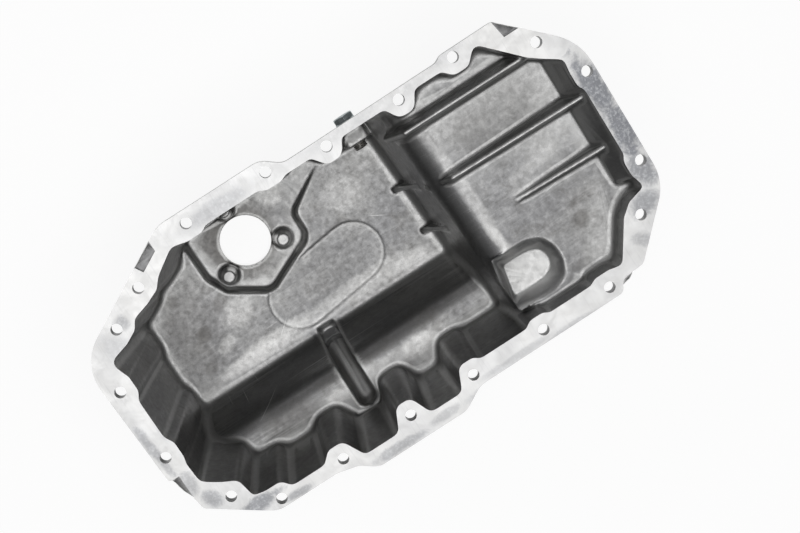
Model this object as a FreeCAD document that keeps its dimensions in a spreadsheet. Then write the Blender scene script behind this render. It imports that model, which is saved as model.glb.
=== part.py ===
import FreeCAD, Part

import math
import os

from FreeCAD import Placement, Rotation, Vector

# Cast aluminium engine oil pan with its drain plug and the plug's seal ring.
# The casting is drawn in its pattern's coordinates: X along the engine, Y across it, and Z = 0 on the
# machined gasket face, with the sump below. Each finished piece is then placed so that Z = 0 is its lowest
# point and the origin is under the middle of the flange. All sizes are in millimetres.

DIMENSIONS = [
    ("flange_thick", 10, "thickness of the gasket flange"),
    ("wall", 4.5, "thickness of the cast side walls"),
    ("floor_thick", 5, "thickness of the cast floors"),
    ("draft_deg", 3.4, "draft of the side walls, degrees"),
    ("front_wall_y", 93.8, "inside of the front wall at the gasket face"),
    ("sump_depth", 150, "gasket face to the sump floor"),
    ("shelf_depth", 95, "gasket face to the shelf beside the sump"),
    ("shallow_depth", 25, "gasket face to the shallow floor"),
    ("step_foot_x", 55, "foot of the step between sump and shallow floor"),
    ("step_slope_deg", 6, "slope of the step wall, degrees"),
    ("step_skew_deg", 2.6, "turn of the step line in plan, degrees"),
    ("crest_radius", 22, "radius over the top of the step"),
    ("foot_radius", 8, "radius at the foot of the step"),
    ("fold_foot_y", -48, "foot of the slope up to the shelf"),
    ("fold_run", 22, "width of that slope"),
    ("fold_radius", 14, "radius at both ends of that slope"),
    ("bolt_hole_dia", 9, "flange bolt hole"),
    ("lobe_reach", 11.7, "bolt centre to the inside of its lobe"),
    ("lobe_half", 6.2, "half width of the lobe's flat"),
    ("lobe_radius", 7.5, "corner radius of a lobe"),
    ("sensor_x", -86.5, "level sensor bore, place along the pan"),
    ("sensor_y", 52, "level sensor bore, place across the pan"),
    ("sensor_bore_dia", 44, "level sensor bore"),
    ("sensor_screw_pcd", 64, "circle of the three sensor screws"),
    ("sensor_screw_turn", 92, "angle of the first sensor screw, degrees"),
    ("screw_boss_dia", 17.6, "foot of a sensor screw boss"),
    ("screw_boss_top_dia", 11, "top of a sensor screw boss"),
    ("screw_boss_high", 15, "height of a sensor screw boss"),
    ("screw_core_dia", 5, "core hole of a sensor screw thread"),
    ("screw_core_deep", 16, "depth of that hole from the pad"),
    ("recess_deep", 8, "sensor recess below the sump floor"),
    ("recess_inset", 4.5, "run of the recess wall"),
    ("recess_ramp_run", 56, "length of the sloped flat beside the sensor bore"),
    ("pad_thick", 7, "metal under the sensor recess"),
    ("oval_radius", 27.5, "end radius of the oval field"),
    ("oval_deep", 1, "depth of the oval field"),
    ("slot_x", -69, "middle of the narrow slot"),
    ("slot_bottom", 6, "width of the slot at its bottom"),
    ("slot_flare", 0.13, "flare of the slot's side for each unit up"),
    ("slot_start_y", -46, "start of the slot"),
    ("slot_end_y", -111, "end of the slot"),
    ("slot_mouth_half", 11, "half width of the slot's round end"),
    ("slot_corner", 2.5, "radius along the slot's bottom"),
    ("slot_low", 154, "gasket face to the deep end of the slot's bottom"),
    ("slot_high", 114, "gasket face to the shallow end of the slot's bottom"),
    ("rib_top", 3.2, "thickness of a floor rib along its top"),
    ("rib_flare", 0.19, "flare of a floor rib's side for each unit down"),
    ("gusset_reach", 12, "reach of a step gusset along the floor"),
    ("gusset_thick", 3.4, "thickness of a step gusset"),
    ("end_ramp_foot_x", 187, "foot of the sloped end wall of the shallow floor"),
    ("end_ramp_top_x", 202.5, "top of that sloped wall"),
    ("end_ramp_front_y", 62, "front end of that sloped wall"),
    ("end_ramp_back_y", -54, "back end of that sloped wall"),
    ("ledge_drop", 3.5, "gasket face to the as-cast ledge"),
    ("pocket_deep", 10, "depth of the round-ended pocket"),
    ("plug_x", 39.8, "drain plug, place along the pan"),
    ("plug_rise", 13, "drain plug's axis above the sump floor"),
    ("plug_seat_proud", 0.2, "seat of the seal ring beyond the wall at the top of its boss"),
    ("plug_boss_dia", 24, "drain boss"),
    ("plug_boss_long", 18.7, "drain boss from its seat to its inside end"),
    ("plug_boss_round", 5, "corner radius on top of the drain boss"),
    ("thread_dia", 12, "drain plug thread"),
    ("thread_gap", 0.05, "radial clearance of the plug in its bore"),
    ("shank_long", 26, "plug length under its collar"),
    ("shank_tip", 1.2, "chamfer at the plug's tip"),
    ("collar_dia", 17.4, "collar under the plug's head"),
    ("collar_thick", 1.5, "thickness of that collar"),
    ("head_flats", 17, "plug head across flats"),
    ("head_high", 4.3, "plug head height"),
    ("head_overlap", 0.2, "depth of the head's foot in its collar"),
    ("head_bevel", 0.35, "run of the bevel round the head's top inside its flats"),
    ("ring_thick", 1.5, "seal ring thickness"),
    ("ring_outer_dia", 18, "seal ring outside"),
    ("ring_gap", 0.15, "radial clearance of the seal ring on the plug"),
    ("notch_deep", 3, "depth of the as-cast notches in the flange edge"),
]

UP = Vector(0, 0, 1)
LENGTHWISE = Vector(1, 0, 0)
BACKWARD = Vector(0, -1, 0)
FORWARD = Vector(0, 1, 0)
FACING_BACK = Rotation(LENGTHWISE, 90)
FACING_RIGHT = Rotation(Vector(1, 1, 1), 120)
OUTWARD = Rotation(LENGTHWISE, -90)

doc = FreeCAD.newDocument("oil_pan")
sheet = doc.addObject("Spreadsheet::Sheet", "Dims")
for row, (alias, number, meaning) in enumerate(DIMENSIONS, start=1):
    sheet.set(f"A{row}", meaning)
    sheet.set(f"B{row}", str(number))
    sheet.setAlias(f"B{row}", alias)
doc.recompute()


def size(alias):
    """Value of one sheet cell."""
    return float(sheet.get(alias))


front_wall = size("front_wall_y")

# Flange bolts, in order round the flange: X, Y and the direction in which the lobe faces the cavity.
BOLTS = [
    (-215.5, -38.5, 0),
    (-215.5, 22.3, 0),
    (-191, 63.7, -62),
    (-160, 81, -66),
    (-103.7, 102.3, -90),
    (-33.5, 102.3, -90),
    (15.2, 93.8, -90),
    (79.2, 93.8, -90),
    (130.2, 98.7, -90),
    (189, 74.4, -126),
    (210.3, 35.5, 180),
    (210.3, -44, 180),
    (189, -79.8, 130),
    (139.5, -114.5, 90),
    (79.2, -114.5, 90),
    (15.2, -114.5, 90),
    (-42, -114.5, 90),
    (-103.7, -114.5, 90),
    (-160, -114.5, 90),
    (-191, -91.5, 62),
]

# Cavity corners between each bolt and the next, as X, Y and corner radius.
GAPS = [
    [(-208, -24.5, 6), (-208, 9.5, 6)],
    [(-209.5, 45, 5.5)],
    [(-175.5, 63.5, 6)],
    [(-143, 80.5, 9), (-123, front_wall, 8)],
    [(-92.5, front_wall, 5), (-45, front_wall, 5)],
    [(-22, 93, 5), (0.5, 93, 5)],
    [(28, front_wall, 5), (66, front_wall, 5)],
    [(93, 94.5, 5), (117, 94.5, 5)],
    [(148, 98.8, 5.5)],
    [(200, 52.5, 6)],
    [(201.8, 24.5, 5), (201.8, -33, 5)],
    [(202.5, -62.5, 2)],
    [(157, -105.3, 5)],
    [(127.5, -105.8, 5), (90, -105.8, 5)],
    [(69, -106.8, 5), (26.5, -106.8, 5)],
    [(0.8, -121.4, 6), (-28, -121.4, 6)],
    [(-57, -121.4, 6), (-88, -121.4, 6)],
    [(-118, -110.8, 6), (-147.5, -110.8, 6)],
    [(-177, -100.5, 2.5)],
    [(-204.5, -69, 9), (-205.5, -51, 4)],
]

# Outside edge of the flange, as X, Y and corner radius.
FLANGE = [
    (-224, -55, 1),
    (-226.5, 30, 60),
    (-226.5, 55.3, 38),
    (-123.8, 112, 25),
    (-33, 112, 15),
    (-19, 100.8, 12),
    (117, 101.8, 4),
    (122, 104.9, 4),
    (168.4, 105.4, 0.8),
    (217.2, 57.6, 45),
    (217.2, -67, 38),
    (171, -113.3, 3),
    (150, -114.6, 1),
    (149, -120, 1),
    (145.5, -124, 3),
    (15, -124.6, 18),
    (-4, -135.5, 15),
    (-84, -135.5, 14),
    (-96, -126, 12),
    (-114, -121.6, 20),
    (-167, -121.6, 20),
    (-214.2, -87.5, 6),
    (-214.8, -79, 1),
    (-219.5, -69, 12),
    (-222, -56, 1),
]

# As-cast notches in the edge of the machined face, each a few corners X, Y.
NOTCHES = {
    "notch_front_left": [(-154.5, 96.5), (-150, 89), (-134.5, 97.5), (-134.5, 108)],
    "notch_back_right": [(167.6, 108), (170.5, 91), (184, 91), (184, 108)],
    "notch_back_left": [(-224, -56.5), (-215.4, -56.5), (-215.4, -80), (-224, -80)],
}

# Sensor recess at the level of the sump floor, as X, Y and corner radius.
RECESS = [
    (-134, 110, 1),
    (-133, 42, 12),
    (-124, 23.5, 10),
    (-90, 1.5, 14),
    (-42, 23.5, 12),
    (-37, 31, 8),
    (-37, 50, 9),
    (14, 84, 3),
    (14, 110, 1),
]

# Sloped flat in the recess: a point of its foot line, and that line's direction.
RAMP_FOOT = (-48, 50)
RAMP_DIRECTION = (-0.53, 0.85)

# Edge and floor of the pocket in the shallow floor, corner by corner, as X, Y and corner radius.
POCKET_EDGE = [
    (76.5, -53.5, 5),
    (69.5, -95, 6),
    (106, -98.5, 15),
    (122, -88, 13),
    (122, -66, 13),
    (108, -53.5, 13),
]
POCKET_FLOOR = [
    (80.5, -62.5, 3),
    (75.5, -87.5, 3),
    (103, -87.5, 8),
    (115.5, -80, 7),
    (115.5, -70, 6),
    (107, -62.5, 8),
]

# Centres of the oval field's two round ends.
OVAL_ENDS = [(-74, -13.6), (-14.4, -5.7)]

# Floor ribs: Y, then along the rib X and the depth of its top below the gasket face.
RIBS = {
    "rib_front": (69.4, [(55, 50), (69, 6), (178, 4)]),
    "rib_middle": (20.4, [(62, 48), (82, 15), (206, 4)]),
    "rib_back": (-22.4, [(109, 25.5), (206, 10)]),
}

# Gussets at the foot of the step: Y and how high each climbs.
GUSSETS = {
    "gusset_front": (20.4, 74),
    "gusset_back": (-22.4, 70),
}

# Ledge left as cast beside the machined face, as X, Y and corner radius.
LEDGE = [
    (149.2, -110, 1),
    (149.2, -120, 1),
    (157, -118.6, 3),
    (167, -112, 3),
]

# How far tools pass what they cut or are trimmed by, and the smallest radius of a moved corner.
OVERRUN = 1
TOP_MARGIN = 5
SIDE_MARGIN = 40
LEAST_RADIUS = 1.5
# Share of the half width that a round end's two corner radii take, so that a short line stays between them.
NEARLY_HALF = 0.999
# Slope of the bevel on the plug's head, in degrees.
BEVEL_DEG = 27

# Outlines

def turn_sign(outline):
    """1 for a counter-clockwise outline and -1 for a clockwise one."""
    area = 0.0
    for here, after in zip(outline, outline[1:] + outline[:1]):
        area += here[0] * after[1] - after[0] * here[1]
    return 1.0 if area > 0 else -1.0


def offset_outline(outline, distance, radius_change=None):
    """Outline moved outward by distance, with radii that follow it or change by a given amount."""
    if radius_change is None:
        radius_change = distance
    sign = turn_sign(outline)
    moved = []
    count = len(outline)
    for index, (x, y, radius) in enumerate(outline):
        before = outline[index - 1]
        after = outline[(index + 1) % count]
        along_in = Vector(x - before[0], y - before[1], 0).normalize()
        along_out = Vector(after[0] - x, after[1] - y, 0).normalize()
        normal_in = Vector(along_in.y, -along_in.x, 0) * sign
        normal_out = Vector(along_out.y, -along_out.x, 0) * sign
        share = distance / (1.0 + normal_in.dot(normal_out))
        corner = Vector(x, y, 0) + (normal_in + normal_out) * share
        convex = (along_in.x * along_out.y - along_in.y * along_out.x) * sign > 0
        new_radius = radius + radius_change if convex else radius - radius_change
        moved.append((corner.x, corner.y, max(new_radius, LEAST_RADIUS)))
    return moved


def outline_edges(outline):
    """Lines and corner arcs of an outline."""
    count = len(outline)
    corners = []
    for index, (x, y, radius) in enumerate(outline):
        here = Vector(x, y, 0)
        back = (Vector(*outline[index - 1][:2], 0) - here).normalize()
        ahead = (Vector(*outline[(index + 1) % count][:2], 0) - here).normalize()
        half = back.getAngle(ahead) / 2.0
        if radius <= 0:
            corners.append((here, None, here))
            continue
        reach = radius / math.tan(half)
        middle = here + (back + ahead).normalize() * (radius / math.sin(half) - radius)
        corners.append((here + back * reach, middle, here + ahead * reach))
    edges = []
    for index, (start, middle, end) in enumerate(corners):
        if middle is not None:
            edges.append(Part.Arc(start, middle, end))
        edges.append(Part.LineSegment(end, corners[(index + 1) % count][0]))
    return edges


def add_sketch(name, outline, placement):
    """Sketch of one closed outline."""
    sketch = doc.addObject("Sketcher::SketchObject", name)
    sketch.addGeometry(outline_edges(outline), False)
    sketch.Placement = placement
    return sketch


def add_plan(name, outline, depth):
    """Sketch of a plan outline at a depth below the gasket face, given as a formula of the sheet's words."""
    sketch = add_sketch(name, outline, Placement())
    sketch.setExpression("Placement.Base.z", f"-({depth})")
    return sketch


def sweep(name, sketch, direction, length):
    """Straight solid swept from a sketch over a length given as a formula."""
    prism = doc.addObject("Part::Extrusion", name)
    prism.Base = sketch
    prism.DirMode = "Custom"
    prism.Dir = direction
    prism.setExpression("LengthFwd", str(length))
    prism.Solid = True
    return prism


def add_prism(name, outline, placement, direction, length):
    """Straight solid swept from an outline that stands anywhere."""
    return sweep(name, add_sketch(name + "_outline", outline, placement), direction, length)


def add_block(name, outline, depth, height):
    """Upright solid from a plan outline at a depth, both sizes as formulas."""
    return sweep(name, add_plan(name + "_outline", outline, depth), UP, height)


def add_taper(name, top, top_depth, bottom, bottom_depth):
    """Tapered solid between two outlines with the same corners, at depths given as formulas."""
    taper = doc.addObject("Part::Loft", name)
    taper.Sections = [
        add_plan(name + "_top", top, top_depth),
        add_plan(name + "_bottom", bottom, bottom_depth),
    ]
    taper.Solid = True
    taper.Ruled = True
    return taper


def add_group(kind, name, shapes):
    """Boolean of several objects."""
    group = doc.addObject(kind, name)
    group.Shapes = shapes
    return group


def add_cut(name, base, tool):
    """One object less another."""
    cut = doc.addObject("Part::Cut", name)
    cut.Base = base
    cut.Tool = tool
    return cut


def cavity_outline():
    """Cavity edge on the gasket face: a lobe round each bolt, and the corners between them."""
    outline = []
    for (x, y, facing), corners in zip(BOLTS, GAPS):
        angle = math.radians(facing)
        inward = Vector(math.cos(angle), math.sin(angle), 0)
        along = Vector(-inward.y, inward.x, 0)
        for side in (-1, 1):
            corner = Vector(x, y, 0) + inward * size("lobe_reach") + along * (side * size("lobe_half"))
            outline.append((corner.x, corner.y, size("lobe_radius")))
        outline.extend(corners)
    return outline


# Side walls

draft = math.tan(math.radians(size("draft_deg")))
cavity = cavity_outline()
PAD_FACE = "Dims.sump_depth + Dims.recess_deep + Dims.pad_thick"
pad_face = size("sump_depth") + size("recess_deep") + size("pad_thick")
lowest = pad_face + TOP_MARGIN
LOWEST = f"{PAD_FACE} + {TOP_MARGIN}"


def walls(name, thickness, top_depth, top_formula):
    """Drafted solid inside the cavity edge, or outside it by a wall's thickness."""
    top = offset_outline(cavity, thickness - draft * top_depth, thickness)
    bottom = offset_outline(cavity, thickness - draft * lowest, thickness)
    return add_taper(name, top, top_formula, bottom, LOWEST)


# Floors

def above_step(name, thickness):
    """Space above the floor line along the pan, or above its underside."""
    slope = math.tan(math.radians(size("step_slope_deg")))
    foot = size("step_foot_x")
    rise = size("sump_depth") - size("shallow_depth")
    far = max(bolt[0] for bolt in BOLTS) + SIDE_MARGIN
    near = min(bolt[0] for bolt in BOLTS) - SIDE_MARGIN
    line = [
        (near, -size("sump_depth"), 0),
        (foot, -size("sump_depth"), size("foot_radius")),
        (foot + slope * rise, -size("shallow_depth"), size("crest_radius")),
        (far, -size("shallow_depth"), 0),
        (far, 2 * SIDE_MARGIN, 0),
        (near, 2 * SIDE_MARGIN, 0),
    ]
    if thickness:
        line = offset_outline(line, thickness)
    skewed = Rotation(UP, size("step_skew_deg"))
    direction = skewed.multVec(BACKWARD)
    reach = 5 * SIDE_MARGIN
    start = Placement(direction * -reach, skewed * FACING_BACK)
    return add_prism(name, line, start, direction, 2 * reach)


def above_fold(name, thickness):
    """Space above the floor line across the pan, or above its underside."""
    foot = size("fold_foot_y")
    front = 5 * SIDE_MARGIN
    line = [
        (-front, -size("shelf_depth"), 0),
        (foot - size("fold_run"), -size("shelf_depth"), size("fold_radius")),
        (foot, -size("sump_depth"), size("fold_radius")),
        (front, -size("sump_depth"), 0),
        (front, 2 * SIDE_MARGIN, 0),
        (-front, 2 * SIDE_MARGIN, 0),
    ]
    if thickness:
        line = offset_outline(line, thickness)
    reach = 8 * SIDE_MARGIN
    return add_prism(name, line, Placement(Vector(-reach, 0, 0), FACING_RIGHT), LENGTHWISE, 2 * reach)


inner_walls = walls("inner_walls", 0, -TOP_MARGIN, -TOP_MARGIN)
outer_walls = walls("outer_walls", size("wall"), size("flange_thick") / 2, "Dims.flange_thick / 2")
cavity_form = add_group("Part::MultiCommon", "cavity_form", [
    inner_walls,
    above_step("inner_step", 0),
    above_fold("inner_fold", 0),
])
shell_form = add_group("Part::MultiCommon", "shell_form", [
    outer_walls,
    above_step("outer_step", size("floor_thick")),
    above_fold("outer_fold", size("floor_thick")),
])
flange = add_block("flange", FLANGE, "Dims.flange_thick", "Dims.flange_thick")
ledge = add_block("ledge", LEDGE, "Dims.flange_thick", "Dims.flange_thick - Dims.ledge_drop")


# Sensor recess and its pad

def recess_taper(name, margin):
    """Space of the sensor recess, reaching a little above the sump floor."""
    share = size("recess_inset") / size("recess_deep")
    top = offset_outline(RECESS, share * margin)
    bottom = offset_outline(RECESS, -size("recess_inset"))
    return add_taper(name, top, f"Dims.sump_depth - {margin}", bottom, "Dims.sump_depth + Dims.recess_deep")


recess_space = recess_taper("recess_space", 2 * OVERRUN)
recess = add_group("Part::MultiCommon", "sensor_recess", [inner_walls, recess_space])
pad_block = add_block("pad_block", RECESS, PAD_FACE, "Dims.recess_deep + Dims.pad_thick")
pad = add_group("Part::MultiCommon", "sensor_pad", [outer_walls, pad_block])


def recess_ramp():
    """Flat that rises from the sensor recess to the sump floor beside the bore."""
    run = size("recess_ramp_run")
    high = -size("sump_depth")
    low = high - size("recess_deep")
    section = [(0, low, 0), (run, high, 0), (run, low - OVERRUN, 0), (0, low - OVERRUN, 0)]
    along = Vector(*RAMP_DIRECTION, 0).normalize()
    across = Vector(along.y, -along.x, 0)
    start = Vector(*RAMP_FOOT, 0) - along * SIDE_MARGIN
    standing = Placement(start, Rotation(across, UP, along * -1, "XYZ"))
    return add_prism("recess_ramp", section, standing, along, 3 * SIDE_MARGIN)


def screw_places():
    """Centres of the three sensor screws."""
    for turn in range(3):
        angle = math.radians(size("sensor_screw_turn") + 120 * turn)
        radius = size("sensor_screw_pcd") / 2
        yield Vector(size("sensor_x") + radius * math.cos(angle), size("sensor_y") + radius * math.sin(angle), 0)


def add_cylinder(name, diameter, length, placement):
    """Round bar along its placement's Z, with its sizes as formulas."""
    bar = doc.addObject("Part::Cylinder", name)
    bar.setExpression("Radius", f"({diameter}) / 2")
    bar.setExpression("Height", length)
    bar.Placement = placement
    return bar


screw_bosses = []
screw_cores = []
for number, place in enumerate(screw_places(), start=1):
    boss = doc.addObject("Part::Cone", f"screw_boss_{number}")
    boss.setExpression("Radius1", "Dims.screw_boss_dia / 2")
    boss.setExpression("Radius2", "Dims.screw_boss_top_dia / 2")
    boss.setExpression("Height", f"Dims.screw_boss_high + {OVERRUN}")
    boss.Placement = Placement(place, Rotation())
    boss.setExpression("Placement.Base.z", f"-Dims.sump_depth - Dims.recess_deep - {OVERRUN}")
    screw_bosses.append(boss)
    core = add_cylinder(f"screw_core_{number}", "Dims.screw_core_dia", "Dims.screw_core_deep", Placement(place, Rotation()))
    core.setExpression("Placement.Base.z", f"-({PAD_FACE})")
    screw_cores.append(core)
sensor_bore = add_cylinder("sensor_bore", "Dims.sensor_bore_dia", f"Dims.pad_thick + 2 * {OVERRUN}", Placement())
sensor_bore.setExpression("Placement.Base.x", "Dims.sensor_x")
sensor_bore.setExpression("Placement.Base.y", "Dims.sensor_y")
sensor_bore.setExpression("Placement.Base.z", f"-({PAD_FACE}) - {OVERRUN}")


# Oval field, pocket and slot

def oval_outline():
    """Two round ends joined by straight sides, as four rounded corners."""
    (x1, y1), (x2, y2) = OVAL_ENDS
    radius = size("oval_radius")
    along = Vector(x2 - x1, y2 - y1, 0).normalize()
    across = Vector(-along.y, along.x, 0)
    outline = []
    for x, y, end, side in ((x1, y1, -1, 1), (x1, y1, -1, -1), (x2, y2, 1, -1), (x2, y2, 1, 1)):
        corner = Vector(x, y, 0) + (along * end + across * side) * radius
        outline.append((corner.x, corner.y, radius * NEARLY_HALF))
    return outline


oval = add_block("oval_field", oval_outline(), "Dims.sump_depth + Dims.oval_deep", f"Dims.oval_deep + {OVERRUN}")


def pocket_taper(name, thickness, margin):
    """Pocket with sloping walls, or the bulge under it; the walls keep their slope above the pocket's edge."""
    share = margin / size("pocket_deep")
    edge = []
    for (x, y, radius), (floor_x, floor_y, _) in zip(POCKET_EDGE, POCKET_FLOOR):
        edge.append((x + (x - floor_x) * share, y + (y - floor_y) * share, radius))
    top_depth = f"Dims.shallow_depth + {thickness} - {margin}"
    bottom_depth = f"Dims.shallow_depth + Dims.pocket_deep + {thickness}"
    top = offset_outline(edge, thickness)
    bottom = offset_outline(POCKET_FLOOR, thickness)
    return add_taper(name, top, top_depth, bottom, bottom_depth)


def slot_form(name, thickness):
    """Narrow slot with a sloping bottom, or the casting round it."""
    start = size("slot_start_y")
    end = size("slot_end_y")
    half = size("slot_bottom") / 2 + thickness
    tall = size("sump_depth") - size("shelf_depth")
    top_half = half + size("slot_flare") * tall
    lean = Vector(0, end - start, size("slot_low") - size("slot_high"))
    round_edge = size("slot_corner")
    section = [(-half, 0, round_edge), (half, 0, round_edge), (top_half, tall, 0), (-top_half, tall, 0)]
    step = lean * (thickness / lean.Length)
    low = Vector(size("slot_x"), start, -size("slot_low") - thickness) - step
    across_lean = Placement(low, Rotation(UP, lean))
    trough = add_prism(name + "_trough", section, across_lean, lean, lean.Length + SIDE_MARGIN)
    wide = size("slot_mouth_half") + thickness
    plan = [
        (size("slot_x") - wide, start + thickness, round_edge),
        (size("slot_x") + wide, start + thickness, round_edge),
        (size("slot_x") + wide, end - thickness, wide * NEARLY_HALF),
        (size("slot_x") - wide, end - thickness, wide * NEARLY_HALF),
    ]
    column = add_block(name + "_plan", plan, LOWEST, f"{LOWEST} - Dims.shelf_depth + {2 * TOP_MARGIN}")
    return add_group("Part::MultiCommon", name, [trough, column])


slot = slot_form("slot", 0)
slot_casing = slot_form("slot_casing", size("wall"))


# Ribs, gussets and the sloped end wall

def add_rib(name, y, tops):
    """Rib whose top follows the given depths and whose sides flare towards the floor."""
    bottom = size("shallow_depth") + size("crest_radius") + size("floor_thick")
    sections = []
    for number, (x, top) in enumerate(tops, start=1):
        half = size("rib_top") / 2
        foot = half + size("rib_flare") * (bottom - top)
        outline = [(y - foot, -bottom, 0), (y + foot, -bottom, 0), (y + half, -top, 0), (y - half, -top, 0)]
        standing = Placement(Vector(x, 0, 0), FACING_RIGHT)
        sections.append(add_sketch(f"{name}_section_{number}", outline, standing))
    rib = doc.addObject("Part::Loft", name)
    rib.Sections = sections
    rib.Solid = True
    rib.Ruled = True
    return rib


def add_gusset(name, y, climb):
    """Triangular gusset between the sump floor and the step wall."""
    bottom = size("sump_depth")
    foot = size("step_foot_x")
    skew = math.tan(math.radians(size("step_skew_deg")))
    shift = -skew * y
    top = foot + shift + math.tan(math.radians(size("step_slope_deg"))) * climb
    side = [
        (foot + shift - size("gusset_reach"), -bottom - OVERRUN, 0),
        (foot + shift + SIDE_MARGIN, -bottom - OVERRUN, 0),
        (top + OVERRUN, climb - bottom, 0),
    ]
    standing = Placement(Vector(0, y + size("gusset_thick") / 2, 0), FACING_BACK)
    return add_prism(name, side, standing, BACKWARD, "Dims.gusset_thick")


inside_parts = [add_rib(name, y, tops) for name, (y, tops) in RIBS.items()]
inside_parts += [add_gusset(name, y, climb) for name, (y, climb) in GUSSETS.items()]
ramp_bottom = -size("shallow_depth") - OVERRUN
ramp_section = [
    (size("end_ramp_foot_x"), ramp_bottom, 0),
    (size("end_ramp_top_x") + SIDE_MARGIN, ramp_bottom, 0),
    (size("end_ramp_top_x") + SIDE_MARGIN, OVERRUN, 0),
    (size("end_ramp_top_x"), OVERRUN, 0),
]
ramp_place = Placement(Vector(0, size("end_ramp_front_y"), 0), FACING_BACK)
ramp_length = "Dims.end_ramp_front_y - Dims.end_ramp_back_y"
inside_parts.append(add_prism("end_ramp", ramp_section, ramp_place, BACKWARD, ramp_length))


# Drain boss

plug_depth = size("sump_depth") - size("plug_rise")
plug_axis = Vector(size("plug_x"), 0, -plug_depth)
wall_outside = size("front_wall_y") + size("wall") - draft * (plug_depth - size("plug_boss_dia") / 2)
seat_centre = plug_axis + FORWARD * (wall_outside + size("plug_seat_proud"))
boss_end = seat_centre + BACKWARD * size("plug_boss_long")


def boss_outline():
    """Section of the drain boss inside the sump."""
    half = size("plug_boss_dia") / 2
    top = plug_axis.z + half
    x = size("plug_x")
    top_round = size("plug_boss_round")
    return [(x - half, -lowest, 0), (x + half, -lowest, 0), (x + half, top, top_round), (x - half, top, top_round)]


boss_place = Placement(Vector(0, boss_end.y, 0), FACING_BACK)
inside_parts.append(add_prism("drain_boss_inside", boss_outline(), boss_place, FORWARD, SIDE_MARGIN))
inside_parts += screw_bosses

drain_boss_start = Placement(boss_end + FORWARD * size("wall"), OUTWARD)
boss_length = "Dims.plug_boss_long - Dims.wall"
drain_boss = add_cylinder("drain_boss_outside", "Dims.plug_boss_dia", boss_length, drain_boss_start)
bore_start = Placement(boss_end + BACKWARD * OVERRUN, OUTWARD)
bore_length = f"Dims.plug_boss_long + 2 * {OVERRUN}"
plug_bore = add_cylinder("plug_bore", "Dims.thread_dia + 2 * Dims.thread_gap", bore_length, bore_start)


# Casting

bolt_holes = []
for number, (x, y, facing) in enumerate(BOLTS, start=1):
    place = Placement(Vector(x, y, OVERRUN), Rotation(LENGTHWISE, 180))
    hole_length = f"Dims.flange_thick + {OVERRUN + 2 * TOP_MARGIN}"
    bolt_holes.append(add_cylinder(f"bolt_hole_{number}", "Dims.bolt_hole_dia", hole_length, place))
notches = []
for name, corners in NOTCHES.items():
    outline = [(x, y, 0) for x, y in corners]
    notches.append(add_block(name, outline, "Dims.notch_deep", f"Dims.notch_deep + {OVERRUN}"))

pocket = pocket_taper("pocket", 0, 2 * OVERRUN)
bulge = pocket_taper("pocket_bulge", size("wall"), size("wall") - OVERRUN)
raw_pieces = [flange, ledge, shell_form, pad, drain_boss, slot_casing, bulge]
raw = add_group("Part::MultiFuse", "raw_casting", raw_pieces)
hollow = add_group("Part::MultiFuse", "hollow", [cavity_form, recess, oval, slot, pocket])
ramp_in_recess = add_group("Part::MultiCommon", "ramp_in_recess", [recess_ramp(), recess])
inside = add_group("Part::MultiFuse", "inside_parts", inside_parts + [ramp_in_recess])
hollow_net = add_cut("hollow_net", hollow, inside)
shell = add_cut("shell", raw, hollow_net)
drilled = add_group("Part::MultiFuse", "drilled_holes", bolt_holes + notches + screw_cores + [sensor_bore, plug_bore])
casting = add_cut("pan_casting", shell, drilled)
casting.Label = "pan_casting"


# Drain plug and seal ring

def origin_plane(body, role):
    """One of a body's own origin planes."""
    return next(item for item in body.Origin.OriginFeatures if item.Role == role)


def add_body(label):
    """Empty body with its own label."""
    body = doc.addObject("PartDesign::Body", label)
    body.Label = label
    return body


def revolve(body, name, profile):
    """Solid of revolution about the body's Z from a closed profile of radius and height."""
    sketch = body.newObject("Sketcher::SketchObject", name + "_profile")
    sketch.AttachmentSupport = [(origin_plane(body, "XZ_Plane"), "")]
    sketch.MapMode = "FlatFace"
    points = [Vector(radius, height, 0) for radius, height in profile]
    for start, end in zip(points, points[1:] + points[:1]):
        sketch.addGeometry(Part.LineSegment(start, end), False)
    turned = body.newObject("PartDesign::Revolution", name)
    turned.Profile = sketch
    turned.ReferenceAxis = (sketch, ["V_Axis"])
    turned.Angle = 360
    return turned


plug = add_body("drain_plug")
tip = size("shank_tip")
shank = size("thread_dia") / 2
collar = size("collar_dia") / 2
revolve(plug, "plug_turning", [
    (0, -size("shank_long")),
    (shank - tip, -size("shank_long")),
    (shank, -size("shank_long") + tip),
    (shank, 0),
    (collar, 0),
    (collar, size("collar_thick")),
    (0, size("collar_thick")),
])
hexagon = plug.newObject("Sketcher::SketchObject", "head_outline")
hexagon.AttachmentSupport = [(origin_plane(plug, "XY_Plane"), "")]
hexagon.MapMode = "FlatFace"
hexagon.setExpression("AttachmentOffset.Base.z", "Dims.collar_thick - Dims.head_overlap")
corner_radius = size("head_flats") / math.sqrt(3)
corners = []
for turn in range(6):
    angle = math.radians(30 + 60 * turn)
    corners.append(Vector(corner_radius * math.cos(angle), corner_radius * math.sin(angle), 0))
for start, end in zip(corners, corners[1:] + corners[:1]):
    hexagon.addGeometry(Part.LineSegment(start, end), False)
head = plug.newObject("PartDesign::Pad", "head")
head.Profile = hexagon
head.setExpression("Length", "Dims.head_high + Dims.head_overlap")
doc.recompute()
bevel_start = size("head_flats") / 2 - size("head_bevel")
bevel_top = size("collar_thick") + size("head_high")
bevel = plug.newObject("Sketcher::SketchObject", "head_bevel_profile")
bevel.AttachmentSupport = [(origin_plane(plug, "XZ_Plane"), "")]
bevel.MapMode = "FlatFace"
bevel_outer = corner_radius + OVERRUN
bevel_fall = (bevel_outer - bevel_start) * math.tan(math.radians(BEVEL_DEG))
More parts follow.
